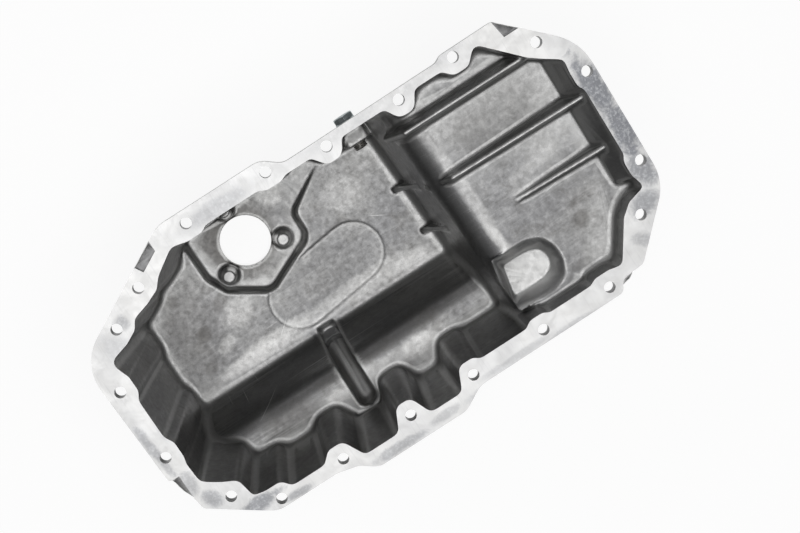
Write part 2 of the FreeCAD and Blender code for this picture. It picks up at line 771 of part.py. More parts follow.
bevel_points = [
    Vector(bevel_start, bevel_top, 0),
    Vector(bevel_outer, bevel_top - bevel_fall, 0),
    Vector(bevel_outer, bevel_top + OVERRUN, 0),
    Vector(bevel_start, bevel_top + OVERRUN, 0),
]
for start, end in zip(bevel_points, bevel_points[1:] + bevel_points[:1]):
    bevel.addGeometry(Part.LineSegment(start, end), False)
head_bevel = plug.newObject("PartDesign::Groove", "head_bevel")
head_bevel.Profile = bevel
head_bevel.ReferenceAxis = (bevel, ["V_Axis"])
head_bevel.Angle = 360

ring = add_body("plug_washer")
ring_inner = shank + size("ring_gap")
ring_outer = size("ring_outer_dia") / 2
revolve(ring, "ring_turning", [
    (ring_inner, 0),
    (ring_outer, 0),
    (ring_outer, size("ring_thick")),
    (ring_inner, size("ring_thick")),
])

# The frame: lowest point at Z = 0, origin under the middle of the flange.
flange_x = [corner[0] for corner in FLANGE]
flange_y = [corner[1] for corner in FLANGE]
origin = Vector(-(min(flange_x) + max(flange_x)) / 2, -(min(flange_y) + max(flange_y)) / 2, pad_face)
casting.Placement = Placement(origin, Rotation())
seat = seat_centre + origin
ring.Placement = Placement(seat, OUTWARD)
plug.Placement = Placement(seat + FORWARD * size("ring_thick"), OUTWARD)
doc.recompute()

pieces = [casting, plug, ring]
for item in doc.Objects:
    if "Invalid" in item.State or "Error" in item.State:
        raise RuntimeError(f"{item.Name} failed: {item.State}")
for piece in pieces:
    if piece.Shape.isNull() or not piece.Shape.isValid() or len(piece.Shape.Solids) != 1:
        raise RuntimeError(f"{piece.Label} is not one valid solid")
os.makedirs("parts", exist_ok=True)
for piece in pieces:
    piece.Shape.exportStep(f"parts/{piece.Label}.step")
    box = piece.Shape.optimalBoundingBox(False, False)
    print(piece.Label, f"{box.XLength:.1f} x {box.YLength:.1f} x {box.ZLength:.1f} mm,", end=" ")
    print(f"{piece.Shape.Volume / 1000:.1f} cm3, {len(piece.Shape.Faces)} faces")
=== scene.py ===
import math

import bmesh
import bpy
import numpy as np
from mathutils import Matrix, Vector


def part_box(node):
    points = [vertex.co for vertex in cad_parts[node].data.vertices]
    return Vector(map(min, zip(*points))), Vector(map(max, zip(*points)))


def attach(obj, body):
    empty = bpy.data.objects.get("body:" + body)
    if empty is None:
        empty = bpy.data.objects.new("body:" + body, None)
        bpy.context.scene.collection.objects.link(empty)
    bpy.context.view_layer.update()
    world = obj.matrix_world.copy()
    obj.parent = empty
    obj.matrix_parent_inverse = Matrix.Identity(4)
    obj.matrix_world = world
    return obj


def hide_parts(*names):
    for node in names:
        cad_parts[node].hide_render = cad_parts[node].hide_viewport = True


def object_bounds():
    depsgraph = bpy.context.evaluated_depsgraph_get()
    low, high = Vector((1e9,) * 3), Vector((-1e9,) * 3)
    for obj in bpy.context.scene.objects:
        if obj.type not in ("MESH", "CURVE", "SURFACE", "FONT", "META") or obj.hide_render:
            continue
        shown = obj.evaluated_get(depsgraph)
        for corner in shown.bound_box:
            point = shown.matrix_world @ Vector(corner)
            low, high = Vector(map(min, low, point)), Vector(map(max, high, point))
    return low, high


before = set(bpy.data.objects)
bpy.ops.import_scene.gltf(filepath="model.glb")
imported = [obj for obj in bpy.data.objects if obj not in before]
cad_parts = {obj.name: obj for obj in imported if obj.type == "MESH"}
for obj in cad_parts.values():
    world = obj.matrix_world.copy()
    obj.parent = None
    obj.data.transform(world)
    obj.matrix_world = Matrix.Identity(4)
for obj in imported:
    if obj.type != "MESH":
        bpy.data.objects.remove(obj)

# Cast aluminium engine oil pan: a casting with softly rounded corners and a machined gasket face, its
# threaded drain plug and the plug's seal ring. Lengths are in metres, apart from places on the pan: those are in the
# pattern's millimetres, X and Y in plan and the depth below the gasket face, and place() turns them into metres.

CAD_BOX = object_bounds()
MM = 0.001

# The pattern's origin in the part's own frame, on the gasket face
FLANGE_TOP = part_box("pan_casting")[1][2]
PATTERN = Vector((4.65 * MM, 11.75 * MM, FLANGE_TOP))


def place(x, y, depth=0.0):
    """Point given in the pattern's millimetres, with the depth below the gasket face."""
    return PATTERN + Vector((x, y, -depth)) * MM


def pattern_points(points):
    """Points in the pattern's millimetres, with Z below the gasket face negative."""
    return (points - np.array(PATTERN)) / MM


# Bolt holes: centres in plan, in the pattern's millimetres
BOLTS = [
    (-215.5, -38.5), (-215.5, 22.3), (-191, 63.7), (-160, 81), (-103.7, 102.3),
    (-33.5, 102.3), (15.2, 93.8), (79.2, 93.8), (130.2, 98.7), (189, 74.4),
    (210.3, 35.5), (210.3, -44), (189, -79.8), (139.5, -114.5), (79.2, -114.5),
    (15.2, -114.5), (-42, -114.5), (-103.7, -114.5), (-160, -114.5), (-191, -91.5),
]
BOLT_CENTRES = [tuple(place(x, y).xy) for x, y in BOLTS]
BOLT_RADIUS = 4.5 * MM
FLANGE_THICK = 10 * MM

# Sensor opening in the pad under the sump
SENSOR = place(-86.5, 52)
SENSOR_RADIUS = 22 * MM
PAD_THICK = 7 * MM

# Plug's bore and seat: on the plug's axis, where the seal ring touches the casting
PLUG_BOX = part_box("drain_plug")
RING_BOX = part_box("plug_washer")
PLUG_SEAT = Vector(((PLUG_BOX[0][0] + PLUG_BOX[1][0]) / 2, RING_BOX[0][1], (PLUG_BOX[0][2] + PLUG_BOX[1][2]) / 2))
PLUG_BORE_RADIUS = 6.05 * MM
PLUG_BORE_LONG = 40 * MM

# How far outside each kind of machined hole the casting snaps to the hole's wall. Points deep inside a hole, nearer
# its axis than this share of its radius, belong to something else.
BOLT_BAND = 0.6 * MM
SENSOR_BAND = 0.75 * MM
PLUG_BORE_BAND = 0.5 * MM
HOLE_CORE = 0.3


# Casting: it is rebuilt from voxels, smoothed, and made of fewer faces. The gasket face, with what lies within a band
# of it, is lifted before that and cut off flat at the end, so that it stays crisp.

VOXEL = 1.1 * MM
WELD = 0.01 * MM
TOP_BAND = 0.1 * MM
TOP_LIFT = 6 * MM
TARGET_FACES = 186000

# Rounds of smoothing: a few soften the edges, fewer of them where fillets are small, and many fill the hollow
# corners up to their radius and let the points slide along the surface
SMOOTH_FACTOR = 0.5
EDGE_ROUNDS = 4
CRISP_ROUNDS = 2
FILLET_ROUNDS = 200
FILLET_FACTOR = 0.9
SLIDE_FACTOR = 0.25
ROUNDS_PER_UPDATE = 4

# Fillet radius of the casting, and boxes with radii of their own: X, Y and depth ranges, then the radius,
# all in the pattern's millimetres
FILLET_RADIUS = 8
FILLET_BOXES = [
    ((-138, 18), (-4, 88), (147.5, 161), 1.2),
    ((64, 128), (-104, -48), (23, 40), 2.5),
    ((24, 56), (69, 96), (118, 149), 2.0),
    ((-84, -54), (-117, -41), (93, 162), 1.5),
    ((88, 208), (-32, 84), (2, 27), 2.5),
    ((36, 64), (-28, 30), (70, 149.5), 2.0),
]

# Fillets below this radius, in millimetres, count as crisp, and edges past this angle, in degrees, are shaded sharp.
CRISP_BELOW = 3
CRISP_ANGLE = 55

# Bends of the surface, stored for the material: the radius that counts as a full bend, and rounds of smoothing
BEND_SCALE = 3 * MM
BEND_ROUNDS = 8

# Places of the casting's materials in its mesh, and how near a bolt hole and how upright a drilled wall's faces are
CAST, MACHINED, DRILLED = range(3)
DRILLED_BAND = 0.6 * MM
DRILLED_SLOPE = 0.6

# Smallest divisor, and the tolerance of the flat cut
NEARLY_ZERO = 1e-9
CUT_TOLERANCE = 1e-6


def mesh_arrays(mesh):
    """Vertex positions and edges of a mesh."""
    points = np.empty(len(mesh.vertices) * 3)
    mesh.vertices.foreach_get("co", points)
    edges = np.empty(len(mesh.edges) * 2, dtype=np.int64)
    mesh.edges.foreach_get("vertices", edges)
    return points.reshape(-1, 3), edges.reshape(-1, 2)


def set_points(mesh, points):
    """Writes vertex positions back."""
    mesh.vertices.foreach_set("co", points.astype(np.float32).ravel())
    mesh.update()


def neighbour_count(points, edges):
    """Number of each vertex's neighbours."""
    return np.maximum(np.bincount(edges.ravel(), minlength=len(points)), 1).astype(float)


def neighbour_mean(values, edges, degree):
    """Mean over each vertex's neighbours, column by column."""
    count = len(values)
    total = np.empty_like(values)
    for axis in range(values.shape[1]):
        column = values[:, axis]
        total[:, axis] = np.bincount(edges[:, 0], column[edges[:, 1]], count)
        total[:, axis] += np.bincount(edges[:, 1], column[edges[:, 0]], count)
    return total / degree[:, None]


def vertex_normals(mesh):
    """Current vertex normals."""
    normals = np.empty(len(mesh.vertices) * 3)
    mesh.vertices.foreach_get("normal", normals)
    return normals.reshape(-1, 3)


def keep_holes(points):
    """Pushes what strayed into a machined hole back to its wall."""
    in_flange = points[:, 2] > FLANGE_TOP - FLANGE_THICK - VOXEL
    for centre in BOLT_CENTRES:
        keep_round(points, in_flange, 0, 1, centre, BOLT_RADIUS, BOLT_BAND)
    in_pad = points[:, 2] < PAD_THICK + VOXEL
    keep_round(points, in_pad, 0, 1, (SENSOR.x, SENSOR.y), SENSOR_RADIUS, SENSOR_BAND)
    in_boss = points[:, 1] > PLUG_SEAT.y - PLUG_BORE_LONG
    keep_round(points, in_boss, 0, 2, (PLUG_SEAT.x, PLUG_SEAT.z), PLUG_BORE_RADIUS, PLUG_BORE_BAND)


def keep_round(points, mask, first, second, centre, radius, band):
    """Sets points inside a radius, or within a band outside it, to lie on that radius about an axis."""
    offset_a = points[:, first] - centre[0]
    offset_b = points[:, second] - centre[1]
    reach = np.hypot(offset_a, offset_b)
    chosen = mask & (reach < radius + band) & (reach > radius * HOLE_CORE)
    scale = radius / reach[chosen]
    points[chosen, first] = centre[0] + offset_a[chosen] * scale
    points[chosen, second] = centre[1] + offset_b[chosen] * scale


def fillet_radii(points):
    """Fillet radius at each point, in metres."""
    radii = np.full(len(points), FILLET_RADIUS * MM)
    plan = pattern_points(points)
    for (x0, x1), (y0, y1), (z0, z1), radius in FILLET_BOXES:
        inside = (plan[:, 0] > x0) & (plan[:, 0] < x1) & (plan[:, 1] > y0) & (plan[:, 1] < y1)
        inside &= (-plan[:, 2] > z0) & (-plan[:, 2] < z1)
        radii[inside] = radius * MM
    return radii


# Narrow slot: its outline across and along, the line of its round bottom from the sump to the shelf, the radius of
# that bottom's edges, the least half width at its round end, and the cutter's top and step
SLOT_SIDES = (-76.9, -60.5)
SLOT_ENDS = (-45.0, -113.6)
SLOT_BOTTOM = ((-46, 154.5), (-111, 113))
SLOT_ROUND = 5.5
SLOT_TIP = 0.2
SLOT_TOP = 92
SLOT_STEP = 2.0

# Block of metal round the slot: its sides, and its outline as Y and depth
SLOT_CASING_X = (-82, -55.5)
SLOT_CASING_SIDE = [
    (-41.5, 152), (-41.5, 158.4), (-46, 158.4), (-113, 118.5), (-117, 114), (-117, 97.5), (-71, 97.5), (-50.5, 152),
]

# Notches in the machined face: their depth, where the cutter starts above the lifted face, and corners in plan
NOTCH_DEPTH = 3.1
NOTCH_ABOVE = 2 * TOP_LIFT / MM
NOTCHES = [
    ((-154.8, 96.6), (-150.1, 88.7), (-134.1, 97.4), (-134.1, 110), (-152, 110)),
    ((167.2, 108), (170.3, 90.6), (184.3, 90.6), (186, 108)),
    ((-226, -56.2), (-215.1, -56.2), (-215.1, -80.3), (-226, -80.3)),
]


def slot_casing():
    """Block of metal round the slot, under the floors."""
    work = bmesh.new()
    sides = []
    for x in SLOT_CASING_X:
        sides.append([work.verts.new(place(x, y, depth)) for y, depth in SLOT_CASING_SIDE])
    count = len(SLOT_CASING_SIDE)
    faces = [work.faces.new(sides[0]), work.faces.new(list(reversed(sides[1])))]
    for index in range(count):
        after = (index + 1) % count
        faces.append(work.faces.new((sides[0][after], sides[0][index], sides[1][index], sides[1][after])))
    bmesh.ops.recalc_face_normals(work, faces=faces)
    return work


def slot_depth(x, y):
    """Depth of the slot's surface: a round-bottomed trench with a round end."""
    half = (SLOT_SIDES[1] - SLOT_SIDES[0]) / 2
    across = abs(x - (SLOT_SIDES[0] + half))
    end = SLOT_ENDS[1] + half
    if y > end:
        margin = min(half - across, SLOT_ENDS[0] - y)
    else:
        margin = half - math.hypot(across, end - y)
    (y0, d0), (y1, d1) = SLOT_BOTTOM
    line = d0 + (d1 - d0) * (y - y0) / (y1 - y0)
    inward = min(max(margin, 0.0), SLOT_ROUND)
    return line - (SLOT_ROUND - math.sqrt(SLOT_ROUND ** 2 - (SLOT_ROUND - inward) ** 2))


def slot_outline(share, across):
    """Plan point of the slot for a share of its length and of its width, each from 0 to 1."""
    half = (SLOT_SIDES[1] - SLOT_SIDES[0]) / 2
    middle = SLOT_SIDES[0] + half
    y = SLOT_ENDS[0] + (SLOT_ENDS[1] - SLOT_ENDS[0]) * share
    past = max(0.0, (SLOT_ENDS[1] + half) - y)
    width = max(math.sqrt(max(half ** 2 - past ** 2, 0.0)), SLOT_TIP)
    return middle + (across * 2 - 1) * width, y


def slot_cutter():
    """Closed solid that cuts the slot: its bottom follows the trench and its top is flat."""
    work = bmesh.new()
    rows = int((SLOT_ENDS[0] - SLOT_ENDS[1]) / SLOT_STEP)
    columns = int((SLOT_SIDES[1] - SLOT_SIDES[0]) / SLOT_STEP)
    grid = []
    for row in range(rows + 1):
        line = []
        for column in range(columns + 1):
            share = row / rows
            across = 0.5 - math.cos(math.pi * column / columns) / 2
            x, y = slot_outline(share, across)
            low = work.verts.new(place(x, y, slot_depth(x, y)))
            high = work.verts.new(place(x, y, SLOT_TOP))
            line.append((low, high))
        grid.append(line)
    for row in range(rows):
        for column in range(columns):
            ring = (grid[row][column], grid[row][column + 1], grid[row + 1][column + 1], grid[row + 1][column])
            work.faces.new([pair[0] for pair in ring])
            work.faces.new([pair[1] for pair in reversed(ring)])
    border = [(row, 0) for row in range(rows)] + [(rows, column) for column in range(columns)]
    border += [(row, columns) for row in range(rows, 0, -1)] + [(0, column) for column in range(columns, 0, -1)]
    for here, after in zip(border, border[1:] + border[:1]):
        low_a, high_a = grid[here[0]][here[1]]
        low_b, high_b = grid[after[0]][after[1]]
        work.faces.new((low_a, low_b, high_b, high_a))
    bmesh.ops.recalc_face_normals(work, faces=work.faces)
    return work


def notch_cutter():
    """Closed prisms that cut the notches."""
    work = bmesh.new()
    for corners in NOTCHES:
        low = [work.verts.new(place(x, y, NOTCH_DEPTH)) for x, y in corners]
        high = [work.verts.new(place(x, y, -NOTCH_ABOVE)) for x, y in corners]
        work.faces.new(low)
        work.faces.new(list(reversed(high)))
        for index in range(len(corners)):
            after = (index + 1) % len(corners)
            work.faces.new((low[index], low[after], high[after], high[index]))
    bmesh.ops.recalc_face_normals(work, faces=work.faces)
    return work


def combine(piece, work, kind):
    """Joins a closed form to a piece or cuts it out of the piece."""
    mesh = bpy.data.meshes.new("tool")
    work.to_mesh(mesh)
    work.free()
    tool = bpy.data.objects.new("tool", mesh)
    bpy.context.scene.collection.objects.link(tool)
    modifier = piece.modifiers.new("combine", "BOOLEAN")
    modifier.operation = kind
    modifier.solver = "EXACT"
    modifier.object = tool
    apply_modifiers(piece)
    bpy.data.objects.remove(tool)
    bpy.data.meshes.remove(mesh)


# Pocket in the shallow floor: corners of its edge and of its floor, how round each outline is, how far its slope
# runs on past the two outlines, and the part of the casting, with the least upward facing, that belongs to it
SHALLOW_DEPTH = 25
POCKET_DEEP = 10
POCKET_EDGE = [
    (76.5, -53.5), (69.8, -95), (88, -98.2), (106, -98.5), (118, -93), (122.5, -82), (122.5, -70), (117, -59),
    (105, -53.5),
]
POCKET_FLOOR = [
    (80.5, -62), (75.5, -88), (90, -88.4), (102, -88), (110, -84.5), (114.5, -79), (114.5, -71), (111, -65),
    (103, -62),
]
POCKET_SOFT = 1.0
POCKET_INWARD = 0.8
POCKET_OUTWARD = 2.4
POCKET_X = (62, 132)
POCKET_Y = (-106, -46)
POCKET_MARGIN = 2
POCKET_NARROWEST = 0.1
POCKET_FACING = 0.2
LARGEST_POWER = 60


def outline_distance(plan, outline, softness):
    """Signed distance, in millimetres, to a convex outline with softened corners; negative inside."""
    total = np.zeros(len(plan))
    for (x0, y0), (x1, y1) in zip(outline, outline[1:] + outline[:1]):
        length = math.hypot(x1 - x0, y1 - y0)
        normal = ((y1 - y0) / -length, (x1 - x0) / length)
        distance = -((plan[:, 0] - x0) * normal[0] + (plan[:, 1] - y0) * normal[1])
        total += np.exp(np.clip(distance / softness, -LARGEST_POWER, LARGEST_POWER))
    return np.log(total) * softness


def shape_pocket(points, normals):
    """Sets the pocket's surface from its two outlines, with a slope between them that starts and ends softly."""
    plan = pattern_points(points)
    depth = -plan[:, 2]
    near = (depth > SHALLOW_DEPTH - POCKET_MARGIN) & (depth < SHALLOW_DEPTH + POCKET_DEEP + POCKET_MARGIN)
    near &= normals[:, 2] > POCKET_FACING
    near &= (plan[:, 0] > POCKET_X[0]) & (plan[:, 0] < POCKET_X[1])
    near &= (plan[:, 1] > POCKET_Y[0]) & (plan[:, 1] < POCKET_Y[1])
    chosen = plan[near]
    edge = outline_distance(chosen, POCKET_EDGE, POCKET_SOFT)
    floor = outline_distance(chosen, POCKET_FLOOR, POCKET_SOFT)
    width = np.maximum(floor - edge + (POCKET_INWARD + POCKET_OUTWARD), POCKET_NARROWEST)
    share = np.clip((floor + POCKET_INWARD) / width, 0, 1)
    wanted = SHALLOW_DEPTH + POCKET_DEEP * (1 - share * share * (3 - 2 * share))
    inside = edge < POCKET_OUTWARD
    target = points[near]
    target[inside, 2] = PATTERN.z - wanted[inside] * MM
    points[near] = target


# Slope from the sump's floor up to the shelf: its range, its line in the solids, how steep it is wanted at places
# along Y, the wall's thickness with a margin on both faces, and the grid along Y on which the depths are summed up
FOLD_X = (-196, 62)
FOLD_Y = (-104, -32)
FOLD_FOOT = (-48, 150)
FOLD_TOP = (-70, 95)
FOLD_RADIUS = 14
FOLD_STEEP = [
    (-44, 0), (-47, 0.25), (-50, 1.0), (-52.5, 2.0), (-55, 2.9), (-60, 2.9), (-62.5, 2.55), (-65, 2.05), (-67.5, 1.5),
    (-70, 1.05), (-73, 0.7), (-76, 0.46), (-80, 0.28), (-85, 0.15), (-90, 0.07), (-96, 0),
]
FOLD_WALL = 4.5
FOLD_MARGIN = 2.2
FOLD_GRID = (-110.0, -20.0)
FOLD_STEP = 0.25


def arc_rise(offset):
    """How far the slope's round foot or shoulder leaves its tangent, at an offset from where it starts."""
    return FOLD_RADIUS - np.sqrt(np.clip(FOLD_RADIUS ** 2 - offset ** 2, 0, None))


def fold_depths(y):
    """Depth of the slope in the solids and as it's wanted, and how steep it's wanted, at values of Y."""
    steep = (FOLD_FOOT[1] - FOLD_TOP[1]) / (FOLD_FOOT[0] - FOLD_TOP[0])
    reach = FOLD_RADIUS * math.tan(math.atan(steep) / 2)
    grid = np.arange(*FOLD_GRID, FOLD_STEP)
    low = FOLD_FOOT[1] - np.clip(FOLD_FOOT[0] - grid, 0, None) * steep
    line = np.clip(low, FOLD_TOP[1], FOLD_FOOT[1])
    within = reach * math.cos(math.atan(steep))
    arc = arc_rise(FOLD_FOOT[0] + reach - grid)
    near_foot = (grid < FOLD_FOOT[0] + reach) & (grid > FOLD_FOOT[0] - within)
    line = np.where(near_foot, FOLD_FOOT[1] - arc, line)
    arc = arc_rise(grid - FOLD_TOP[0] + reach)
    near_top = (grid > FOLD_TOP[0] - reach) & (grid < FOLD_TOP[0] + within)
    line = np.where(near_top, FOLD_TOP[1] + arc, line)
    places = [item[0] for item in reversed(FOLD_STEEP)]
    steepness = np.interp(grid, places, [item[1] for item in reversed(FOLD_STEEP)])
    rise = np.cumsum(steepness) * FOLD_STEP
    wanted = FOLD_TOP[1] + rise / rise[-1] * (FOLD_FOOT[1] - FOLD_TOP[1])
    return np.interp(y, grid, line), np.interp(y, grid, wanted), np.interp(y, grid, steepness)


def shape_fold(points):
    """Gives the slope to the shelf its tight foot and its long round shoulder, on both faces of the wall."""
    plan = pattern_points(points)
    line, wanted, steepness = fold_depths(plan[:, 1])
    off = (-plan[:, 2] - line) / np.hypot(1, steepness)
    near = (plan[:, 0] > FOLD_X[0]) & (plan[:, 0] < FOLD_X[1])
    near &= (plan[:, 1] > FOLD_Y[0]) & (plan[:, 1] < FOLD_Y[1])
    near &= (off > -FOLD_MARGIN) & (off < FOLD_WALL + FOLD_MARGIN)
    points[near, 2] -= ((wanted - line) * MM)[near]


def rough_casting():
    """Copy of the casting, rebuilt from voxels with its slot cut and its gasket face lifted."""
    work = bmesh.new()
    work.from_mesh(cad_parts["pan_casting"].data)
    for vertex in work.verts:
        if vertex.co.z > FLANGE_TOP - TOP_BAND:
            vertex.co.z += TOP_LIFT
    bmesh.ops.remove_doubles(work, verts=work.verts, dist=WELD)
    mesh = bpy.data.meshes.new("casting")
    work.to_mesh(mesh)
    work.free()
    piece = bpy.data.objects.new("casting", mesh)
    bpy.context.scene.collection.objects.link(piece)
    combine(piece, slot_casing(), "UNION")
    combine(piece, slot_cutter(), "DIFFERENCE")
    remesh = piece.modifiers.new("voxels", "REMESH")
    remesh.mode = "VOXEL"
    remesh.voxel_size = VOXEL
    apply_modifiers(piece)
    return piece


def round_corners(mesh, points, edges):
    """Softens every edge, then fills each hollow corner until its bend is no tighter than its fillet radius."""
    degree = neighbour_count(points, edges)
    radii = fillet_radii(points)
    soft = radii > CRISP_BELOW * MM
    for turn in range(EDGE_ROUNDS):
        pull = (neighbour_mean(points, edges, degree) - points) * SMOOTH_FACTOR
        points += pull if turn < CRISP_ROUNDS else pull * soft[:, None]
    keep_holes(points)
    allowed = VOXEL ** 2 / 4 / radii
    for turn in range(FILLET_ROUNDS):
        if turn % ROUNDS_PER_UPDATE == 0:
            set_points(mesh, points)
            normals = vertex_normals(mesh)
        pull = neighbour_mean(points, edges, degree) - points
        along = np.einsum("ij,ij->i", pull, normals)
        points += normals * (np.maximum(along - allowed, 0.0) * FILLET_FACTOR)[:, None]
        points += (pull - normals * along[:, None]) * (SLIDE_FACTOR * (along > allowed))[:, None]
        if turn % ROUNDS_PER_UPDATE == ROUNDS_PER_UPDATE - 1:
            keep_holes(points)
    points += (neighbour_mean(points, edges, degree) - points) * SMOOTH_FACTOR
    keep_holes(points)


def cast_piece():
    """Copy of the casting with its fillets, its crisp notches and its flat machined gasket face."""
    piece = rough_casting()
    mesh = piece.data
    points, edges = mesh_arrays(mesh)
    shape_fold(points)
    round_corners(mesh, points, edges)
    shape_pocket(points, vertex_normals(mesh))
    points[:, 2] = np.maximum(points[:, 2], CAD_BOX[0][2])
    set_points(mesh, points)
    store_bends(mesh)
    decimate = piece.modifiers.new("fewer", "DECIMATE")
    decimate.ratio = min(1.0, TARGET_FACES / (2.0 * len(mesh.polygons)))
    apply_modifiers(piece)
    piece.data.materials.clear()
    combine(piece, notch_cutter(), "DIFFERENCE")
    cut_flat(piece.data)
    return piece


def apply_modifiers(piece):
    """Replaces a piece's mesh by what its modifiers make of it."""
    depsgraph = bpy.context.evaluated_depsgraph_get()
    made = bpy.data.meshes.new_from_object(piece.evaluated_get(depsgraph))
    piece.modifiers.clear()
    old = piece.data
    piece.data = made
    bpy.data.meshes.remove(old)


def cut_flat(mesh):
    """Cuts the mesh at the gasket face and closes it with one flat machined face."""
    work = bmesh.new()
    work.from_mesh(mesh)
    cut = bmesh.ops.bisect_plane(
        work,
        geom=work.verts[:] + work.edges[:] + work.faces[:],
        dist=CUT_TOLERANCE,
        plane_co=(0, 0, FLANGE_TOP),
        plane_no=(0, 0, 1),
        clear_outer=True,
    )
    rim = [item for item in cut["geom_cut"] if isinstance(item, bmesh.types.BMEdge)]
    filled = bmesh.ops.triangle_fill(work, use_beauty=True, edges=rim)
    for face in work.faces:
        face.smooth = True
        face.material_index = CAST
    for item in filled["geom"]:
        if isinstance(item, bmesh.types.BMFace):
            item.material_index = MACHINED
            if item.normal.z < 0:
                item.normal_flip()
    for face in work.faces:
        if in_bolt_hole(face):
            face.material_index = DRILLED
    for edge in rim:
        if edge.is_valid:
            edge.smooth = False
    work.to_mesh(mesh)
    work.free()
    mesh.set_sharp_from_angle(angle=math.radians(CRISP_ANGLE))


def in_bolt_hole(face):
    """Whether a face is part of a drilled bolt hole's wall."""
    centre = face.calc_center_median()
    if abs(face.normal.z) >= DRILLED_SLOPE or centre.z <= FLANGE_TOP - FLANGE_THICK - VOXEL:
        return False
    return any(math.hypot(centre.x - x, centre.y - y) < BOLT_RADIUS + DRILLED_BAND for x, y in BOLT_CENTRES)


def store_bends(mesh):
    """Stores how far each point lies in a hollow (positive) or on a ridge (negative), for the material."""
    points, edges = mesh_arrays(mesh)
    degree = neighbour_count(points, edges)
    lengths = ((points[edges[:, 0]] - points[edges[:, 1]]) ** 2).sum(1)
    square = sum(np.bincount(edges[:, end], lengths, len(points)) for end in (0, 1)) / degree
    pull = neighbour_mean(points, edges, degree) - points
    bend = np.einsum("ij,ij->i", pull, vertex_normals(mesh)) * 2 / np.maximum(square, NEARLY_ZERO)
    bend = np.clip(bend * BEND_SCALE, -1, 1)[:, None]
    for _ in range(BEND_ROUNDS):
        bend = (bend + neighbour_mean(bend, edges, degree)) / 2
    attribute = mesh.attributes.new("bend", "FLOAT", "POINT")
    attribute.data.foreach_set("value", bend.astype(np.float32).ravel())


casting = cast_piece()
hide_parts("pan_casting")
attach(casting, "pan")


# Drain plug. Its heights are measured from the collar's underside: the shank goes down and the head up.

THREAD_RADIUS = 6 * MM
THREAD_PITCH = 1.5 * MM
THREAD_DEPTH = 0.85 * MM
SHANK_LONG = 26 * MM
TIP = 1.2 * MM
COLLAR_RADIUS = 8.7 * MM
COLLAR_THICK = 1.5 * MM
COLLAR_EDGE = 0.2 * MM
RING_THICK = 1.5 * MM

# Share of the pitch that the crest and the flanks take, and how long the thread takes to run out at the collar
CREST_SHARE = 0.12
FLANK_SHARE = 0.76
RUN_OUT = 2 * MM

# Hexagon: half of its width over the flats, its reach at the blunted corners, and the bevel on its top
HEX_TURN = math.radians(60)
HEAD_HALF_FLATS = 8.5 * MM
HEAD_CORNER = 9.58 * MM
HEAD_TOP = COLLAR_THICK + 4.3 * MM
BEVEL_START = HEAD_HALF_FLATS - 0.35 * MM
BEVEL_INSET = 0.15 * MM
BEVEL_SLOPE = math.tan(math.radians(27))

# Steps round the plug and along each turn of its thread, and the angle past which its edges are shaded sharp
AROUND = 192
STEPS_PER_TURN = 10
PLUG_CRISP_ANGLE = 40


def turned_mesh(name, rings, around):
    """Closed surface from rings, each given as a function of the angle that returns radius and height."""
    work = bmesh.new()
    rows = []
    for ring in rings:
        row = []
        for step in range(around):
            angle = 2 * math.pi * step / around
            radius, height = ring(angle)
            row.append(work.verts.new((radius * math.cos(angle), radius * math.sin(angle), height)))
        rows.append(row)
    for low, high in zip(rows, rows[1:]):
        for step in range(around):
            after = (step + 1) % around
            work.faces.new((low[step], low[after], high[after], high[step]))
    work.faces.new(list(reversed(rows[0])))
    work.faces.new(rows[-1])
    bmesh.ops.recalc_face_normals(work, faces=work.faces)
    mesh = bpy.data.meshes.new(name)
    work.to_mesh(mesh)
    work.free()
    for face in mesh.polygons:
        face.use_smooth = True
    return mesh


def hex_radius(angle):
    """Reach of the hexagon at an angle: its corners are blunted, and one points to the gasket face."""
    within = (angle + HEX_TURN / 2) % HEX_TURN - HEX_TURN / 2
    return min(HEAD_HALF_FLATS / math.cos(within), HEAD_CORNER)


def thread_ring(height):
    """Ring of the threaded shank at a height."""
    def ring(angle):
        turns = height / THREAD_PITCH - angle / (2 * math.pi)
        wave = abs((turns % 1.0) * 2 - 1)
        groove = min(max((wave - CREST_SHARE) / FLANK_SHARE, 0.0), 1.0)
        fade = min(1.0, -height / RUN_OUT)
        tip = max(0.0, -height - (SHANK_LONG - TIP))
        return min(THREAD_RADIUS - THREAD_DEPTH * groove * fade, THREAD_RADIUS - tip), height
    return ring


def plain_ring(radius, height):
    """Round ring."""
    return lambda angle: (radius, height)


def hex_ring(inset, height):
    """Ring on the hexagon."""
    return lambda angle: (hex_radius(angle) - inset, height)


def bevel_ring(angle):
    """Ring where the head's flats meet its bevel, lowest at the corners."""
    reach = hex_radius(angle) - BEVEL_INSET
    return reach, HEAD_TOP - max(reach - BEVEL_START, 0.0) * BEVEL_SLOPE


def place_turned(piece, distance):
    """Turns a piece so that its axis points out of the pan, with its base at a distance from the seat."""
    turn = Matrix.Rotation(math.radians(-90), 4, "X")
    piece.data.transform(Matrix.Translation(PLUG_SEAT + Vector((0, distance, 0))) @ turn)


